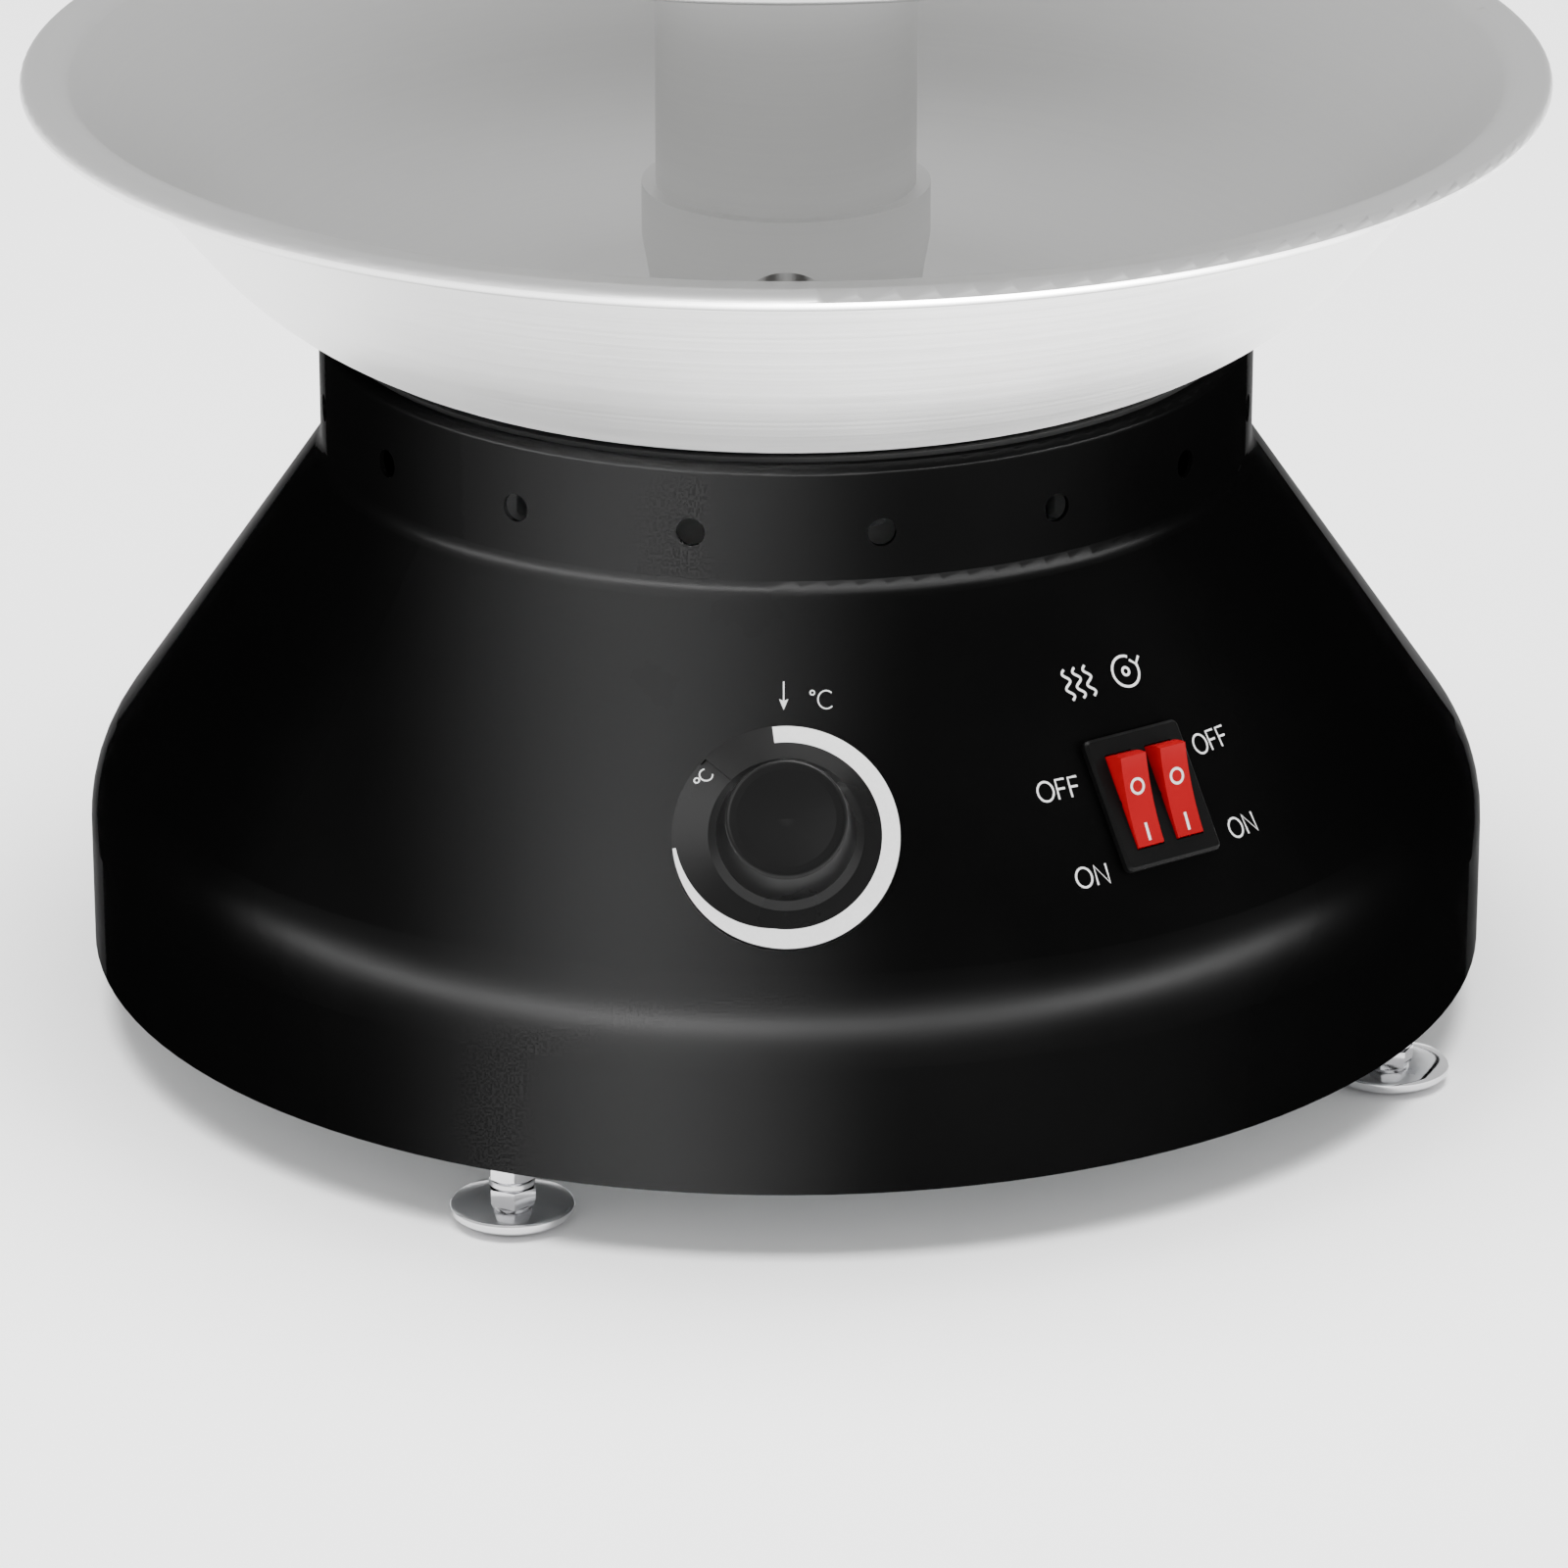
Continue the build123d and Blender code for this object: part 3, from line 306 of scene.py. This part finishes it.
def arc(centre_x, centre_y, radius_x, radius_y, start, end, steps=arc_steps):
    """Points on an ellipse from one angle to another, in degrees counter-clockwise from the right."""
    angles = [radians(start + (end - start) * index / steps) for index in range(steps + 1)]
    return [(centre_x + radius_x * cos(angle), centre_y + radius_y * sin(angle)) for angle in angles]


def ring_line(centre_x, centre_y, radius_x, radius_y):
    """A closed ellipse."""
    return arc(centre_x, centre_y, radius_x, radius_y, 0, 360)[:-1]


letters = {
    "small_deg": (0.34, [("closed", ring_line(0.12, 0.9, 0.12, 0.12))]),
    "O": (0.86, [("closed", ring_line(0.43, 0.5, 0.43, 0.5))]),
    "F": (0.5, [("open", [(0, 0), (0, 1), (0.5, 1)]), ("open", [(0, 0.52), (0.44, 0.52)])]),
    "N": (0.66, [("open", [(0, 0), (0, 1), (0.66, 0), (0.66, 1)])]),
    "C": (0.8, [("open", arc(0.45, 0.5, 0.45, 0.5, 48, 312))]),
    "deg": (0.38, [("closed", ring_line(0.19, 0.82, 0.19, 0.19))]),
}


def word(names, height, gap):
    """Strokes of a short word, centred on its place."""
    width = sum(letters[name][0] for name in names) * height + gap * (len(names) - 1)
    left = -width / 2
    strokes = []
    for name in names:
        share, lines = letters[name]
        for kind, points in lines:
            strokes.append((kind, [(left + x * height, (y - 0.5) * height) for x, y in points]))
        left += share * height + gap
    return strokes


def mark(name, body, strokes, width, place, material):
    """Draws strokes of one width and lays them on a surface as one thin piece of ink."""
    curve = bpy.data.curves.new(name, "CURVE")
    curve.dimensions = "3D"
    curve.bevel_depth = width / 2
    curve.bevel_resolution = stroke_sides
    curve.use_fill_caps = True
    for kind, points in strokes:
        spline = curve.splines.new("POLY")
        spline.points.add(len(points) - 1)
        for target, (x, y) in zip(spline.points, points):
            target.co = (x, y, 0, 1)
        spline.use_cyclic_u = kind == "closed"
    holder = bpy.data.objects.new(name + "_lines", curve)
    bpy.context.scene.collection.objects.link(holder)
    bpy.context.view_layer.update()
    mesh = bpy.data.meshes.new_from_object(holder.evaluated_get(bpy.context.evaluated_depsgraph_get()))
    bpy.data.objects.remove(holder)
    for vertex in mesh.vertices:
        vertex.co = place(vertex.co) * MM
    mesh.name = name
    mesh.materials.clear()
    mesh.materials.append(material)
    piece = bpy.data.objects.new(name, mesh)
    bpy.context.scene.collection.objects.link(piece)
    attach(piece, body)
    printed.append(piece)


def filled(name, body, outline, place, material):
    """Lays one filled shape on a surface, as thick as the strokes stand."""
    count = len(outline)
    corners = [Vector((x, y, level)) for level in (0.0, 1.0) for x, y in outline]
    faces = [tuple(reversed(range(count))), tuple(range(count, 2 * count))]
    for low in range(count):
        after = (low + 1) % count
        faces.append((low, after, after + count, low + count))
    mesh = bpy.data.meshes.new(name)
    mesh.from_pydata([place(corner) * MM for corner in corners], [], faces)
    mesh.materials.append(material)
    piece = bpy.data.objects.new(name, mesh)
    bpy.context.scene.collection.objects.link(piece)
    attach(piece, body)
    printed.append(piece)


def housing_marks():
    """The pointer and unit over the knob, the words beside the switch and the two signs above it."""
    head = [(-1.0, -0.65), (0, -3.1), (1.0, -0.65), (0, -1.05)]
    pointer = on_cone(-0.25, 118.5)
    mark("knob_pointer", "base", [("open", [(0, 3.4), (0, -2.0)])], fine_stroke, pointer, white_ink)
    filled("knob_pointer_head", "base", head, pointer, white_ink)
    mark("unit_mark", "base", word(["small_deg", "C"], 4.1, 0.3), fine_stroke, on_cone(3.65, 117.8), white_ink)
    off_word = word(["O", "F", "F"], word_height, 0.95)
    on_word = word(["O", "N"], word_height, 1.05)
    words = (
        ("off_left", off_word, 26.05, 96.8),
        ("on_left", on_word, 27.0, 79.9),
        ("off_right", off_word, 44.3, 98.5),
        ("on_right", on_word, 43.7, 81.7),
    )
    for name, strokes, azimuth, height in words:
        mark(name, "base", strokes, word_stroke, on_cone(azimuth, height), white_ink)
    turn = [
        ("open", arc(0, 0, 3.6, 3.6, 60, 380)),
        ("open", [(2.0, 2.3), (3.45, 1.0), (4.9, 2.6)]),
        ("closed", ring_line(0, 0, 0.9, 0.9)),
    ]
    mark("motor_sign", "base", turn, sign_stroke, on_cone(37.6, sign_height), white_ink)
    waves = []
    for centre in (-2.8, 0, 2.8):
        points = [
            (centre + 0.8 * sin(4 * pi * step / wave_steps), -3.6 + 7.2 * step / wave_steps)
            for step in range(wave_steps + 1)
        ]
        waves.append(("open", points))
    mark("heat_sign", "base", waves, sign_stroke, on_cone(31.6, sign_height), white_ink)


def scale_band():
    """The white wedge round the knob's skirt: full width from the top clockwise, then tapering away."""
    outer = 25.1
    full_width = 4.0
    thin_width = 0.7
    first, taper_from, last = -7.0, 188.0, 264.0
    steps = 140
    thickness = 0.12
    vertices = []
    for index in range(steps + 1):
        turn = first + (last - first) * index / steps
        share = max(0.0, (turn - taper_from) / (last - taper_from))
        inner = outer - full_width + share * (full_width - thin_width)
        for radius, lift in ((outer, 0), (inner, 0), (inner, thickness), (outer, thickness)):
            flat = Vector((radius * sin(radians(turn)), radius * cos(radians(turn)), lift / ink_flat))
            vertices.append(on_knob(flat) * MM)
    faces = []
    for index in range(steps):
        low = 4 * index
        for side in range(4):
            after = (side + 1) % 4
            faces.append((low + side, low + 4 + side, low + 4 + after, low + after))
    faces.append((0, 1, 2, 3))
    faces.append(tuple(4 * steps + side for side in (3, 2, 1, 0)))
    mesh = bpy.data.meshes.new("knob_scale")
    mesh.from_pydata(vertices, [], faces)
    mesh.materials.append(white_ink)
    piece = bpy.data.objects.new("knob_scale", mesh)
    bpy.context.scene.collection.objects.link(piece)
    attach(piece, "knob")
    printed.append(piece)


def knob_marks():
    """The small unit mark on the knob's skirt, read from the middle outwards."""
    strokes = []
    facing = radians(-54)
    centre = Vector((sin(facing), cos(facing))) * 22.4
    for kind, points in word(["deg", "C"], 3.0, 0.25):
        turned_points = []
        for x, y in points:
            turned_points.append((
                centre.x + x * cos(facing) + y * sin(facing),
                centre.y - x * sin(facing) + y * cos(facing)))
        strokes.append((kind, turned_points))
    mark("knob_unit_mark", "knob", strokes, 0.34, on_knob, white_ink)


def rocker_marks():
    """The ring and the bar on each rocker's face."""
    for body, offset in (("rocker_heat", -rocker_offset), ("rocker_motor", rocker_offset)):
        circle = [("closed", ring_line(0, 3.2, 1.65, 1.65))]
        bar = [("open", [(0, -9.1), (0, -5.1)])]
        mark(body + "_off_ring", body, circle, 0.6, on_rocker(offset), rocker_ink)
        mark(body + "_on_bar", body, bar, 0.7, on_rocker(offset), rocker_ink)


# Levelling feet: the turned pad, hexagon and ring of each foot, rounder than the solid that it stands for

foot_hexagon = 5.0      # half the width across its flats
# Each row is a radius and a height above the sole
foot_rows = [
    (9.4, 0.0), (13.4, 1.9), (14.0, 2.7), (14.2, 3.5), (14.1, 4.0), (13.8, 4.35), (13.3, 4.55), (6.4, 6.1),
    ("hexagon", 6.1), ("hexagon", 8.4),
    (4.1, 8.4), (4.1, 8.8), (5.0, 8.8), (5.2, 9.0), (5.2, 10.0), (5.0, 10.2), (4.1, 10.2), (4.1, 10.6), (3.0, 10.6),
]
foot_sides = 96
foot_crease = 28        # degrees, above which an edge stays sharp


def hexagon_reach(turn):
    """How far out a hexagon's edge is, at an angle in degrees from the middle of one of its sides."""
    return foot_hexagon / cos(radians((turn + 30) % 60 - 30))


def foot_piece(name):
    """One foot as a closed shell turned about the axis of the solid foot, in its place."""
    node = frame["nodes"][name]
    corners = [node.matrix_world @ Vector(corner) for corner in node.bound_box]
    low = [min(corner[axis] for corner in corners) for axis in range(3)]
    high = [max(corner[axis] for corner in corners) for axis in range(3)]
    centre_x, centre_y = (low[0] + high[0]) / 2, (low[1] + high[1]) / 2
    outward = degrees(atan2(centre_y, centre_x))
    rows = foot_rows + [(3.0, (high[2] - low[2]) / MM)]
    vertices = []
    for reach, level in rows:
        for side in range(foot_sides):
            turn = 360 * side / foot_sides
            radius = (hexagon_reach(turn) if reach == "hexagon" else reach) * MM
            place = (radius * cos(radians(outward + turn)), radius * sin(radians(outward + turn)))
            vertices.append((centre_x + place[0], centre_y + place[1], low[2] + level * MM))
    faces = [tuple(reversed(range(foot_sides)))]
    for row in range(len(rows) - 1):
        start = row * foot_sides
        for side in range(foot_sides):
            after = (side + 1) % foot_sides
            faces.append((start + side, start + after, start + foot_sides + after, start + foot_sides + side))
    last = (len(rows) - 1) * foot_sides
    faces.append(tuple(range(last, last + foot_sides)))
    mesh = bpy.data.meshes.new(name + "_turned")
    mesh.from_pydata(vertices, [], faces)
    mesh.materials.append(materials["chrome"])
    for polygon in mesh.polygons:
        polygon.use_smooth = True
    mesh.set_sharp_from_angle(angle=radians(foot_crease))
    piece = bpy.data.objects.new(name + "_turned", mesh)
    bpy.context.scene.collection.objects.link(piece)
    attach(piece, name)
    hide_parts(name)


for foot_name in ("foot_1", "foot_2", "foot_3", "foot_4"):
    foot_piece(foot_name)
housing_marks()
scale_band()
knob_marks()
rocker_marks()


# Stage, light and camera

def floor():
    half = 12.0
    corners = [(-half, -half, 0), (half, -half, 0), (half, half, 0), (-half, half, 0)]
    mesh = bpy.data.meshes.new("floor")
    mesh.from_pydata(corners, [], [(0, 1, 2, 3)])
    made, tree, shader = nodes_of("floor_paper")
    fibre = noise(tree, object_place(tree), 30.0, 3.0)
    tree.links.new(tint(tree, fibre, (0.9, 0.9, 0.9), (0.92, 0.92, 0.92)), shader.inputs["Base Color"])
    shader.inputs["Roughness"].default_value = 0.9
    shader.inputs["Specular IOR Level"].default_value = 0.1
    mesh.materials.append(made)
    piece = bpy.data.objects.new("floor", mesh)
    bpy.context.scene.collection.objects.link(piece)
    return piece


def lit_group(name, members):
    """A collection for lights that are flagged to reach only some surfaces, as black flags do in a studio."""
    group = bpy.data.collections.new(name)
    for member in members:
        group.objects.link(member)
    return group


def soft_light(name, azimuth, elevation, distance, width, height, power, aim=(0, 0, 0.1), reach=None,
               spread=180, aside=0.0, shine=True, fill=True, blocked_by=None):
    """A rectangular softbox that faces a point on the object, or a point beside it when set aside."""
    light = bpy.data.lights.new(name, "AREA")
    light.shape = "RECTANGLE"
    light.size = width
    light.size_y = height
    light.energy = power
    holder = bpy.data.objects.new(name, light)
    turn, rise = radians(azimuth), radians(elevation)
    away = Vector((sin(turn) * cos(rise), -cos(turn) * cos(rise), sin(rise)))
    beside = Vector((cos(turn), sin(turn), 0))
    holder.location = Vector(aim) + away * distance + beside * aside
    holder.rotation_euler = away.to_track_quat("Z", "Y").to_euler()
    light.spread = radians(spread)
    holder.visible_glossy = shine
    holder.visible_diffuse = fill
    bpy.context.scene.collection.objects.link(holder)
    if reach:
        holder.light_linking.receiver_collection = reach
    if blocked_by:
        holder.light_linking.blocker_collection = blocked_by


beam_azimuths = (0, 140, 235)
strip_azimuths = range(-165, 180, 30)
world_strength = 0.9


def lights(stage):
    """Soft studio light: a white surround, with lights that each reach one group of surfaces."""
    housing = lit_group("lit_by_housing_lights", [frame["nodes"]["housing"]])
    bowl = lit_group("lit_by_bowl_light", [frame["nodes"]["bowl"]])
    shade = lit_group("shading_the_bowl_light", [frame["nodes"]["bowl"], frame["nodes"]["housing"]])
    ground = lit_group("lit_by_floor_light", [stage])
    knob = lit_group("lit_by_knob_light", [frame["nodes"]["knob"]])
    marks = lit_group("lit_by_marks_light", printed)
    for azimuth in beam_azimuths:
        soft_light("tall_beam", azimuth, 20, 2.6, 0.02, 0.8, 6.8, reach=housing,
                   spread=2.6, aside=-0.033, shine=False)
    for azimuth in strip_azimuths:
        soft_light("low_strip", azimuth, 8.5, 3.0, 1.6, 0.16, 340, reach=housing, fill=False)
    soft_light("bowl_fill", 30, -35, 2.4, 2.0, 0.8, 420, reach=bowl, blocked_by=shade)
    soft_light("knob_glow", -48, 45, 2.0, 1.2, 1.2, 25, reach=knob, fill=False)
    soft_light("marks_fill", 0, 40, 3.0, 1.5, 1.5, 34, reach=marks, shine=False)
    soft_light("top", 0, 88, 3.0, 3.0, 3.0, 40, shine=False)
    soft_light("floor_light", 0, 86, 4.0, 3.0, 3.0, 480, reach=ground)
    world = bpy.data.worlds.new("studio")
    world.use_nodes = True
    tree = world.node_tree
    background = tree.nodes["Background"]
    background.inputs[0].default_value = (1, 1, 1, 1)
    background.inputs[1].default_value = world_strength
    bpy.context.scene.world = world


# The camera that was fitted to the photo: focal length and width in pixels, sensor in mm, distance in metres
photo_focal = 8347.0
photo_width = 1600.0
sensor = 36.0
camera_distance = 1.9485
camera_elevation = 21.39
camera_target = Vector((-0.00047, 0, 0.04967))


def camera():
    data = bpy.data.cameras.new("photo_view")
    data.sensor_width = sensor
    data.lens = photo_focal / photo_width * sensor
    data.clip_end = 50
    holder = bpy.data.objects.new("photo_view", data)
    rise = radians(camera_elevation)
    away = Vector((0, -cos(rise), sin(rise)))
    holder.location = camera_target + away * camera_distance
    holder.rotation_euler = away.to_track_quat("Z", "Y").to_euler()
    bpy.context.scene.collection.objects.link(holder)
    bpy.context.scene.camera = holder


lights(floor())
camera()
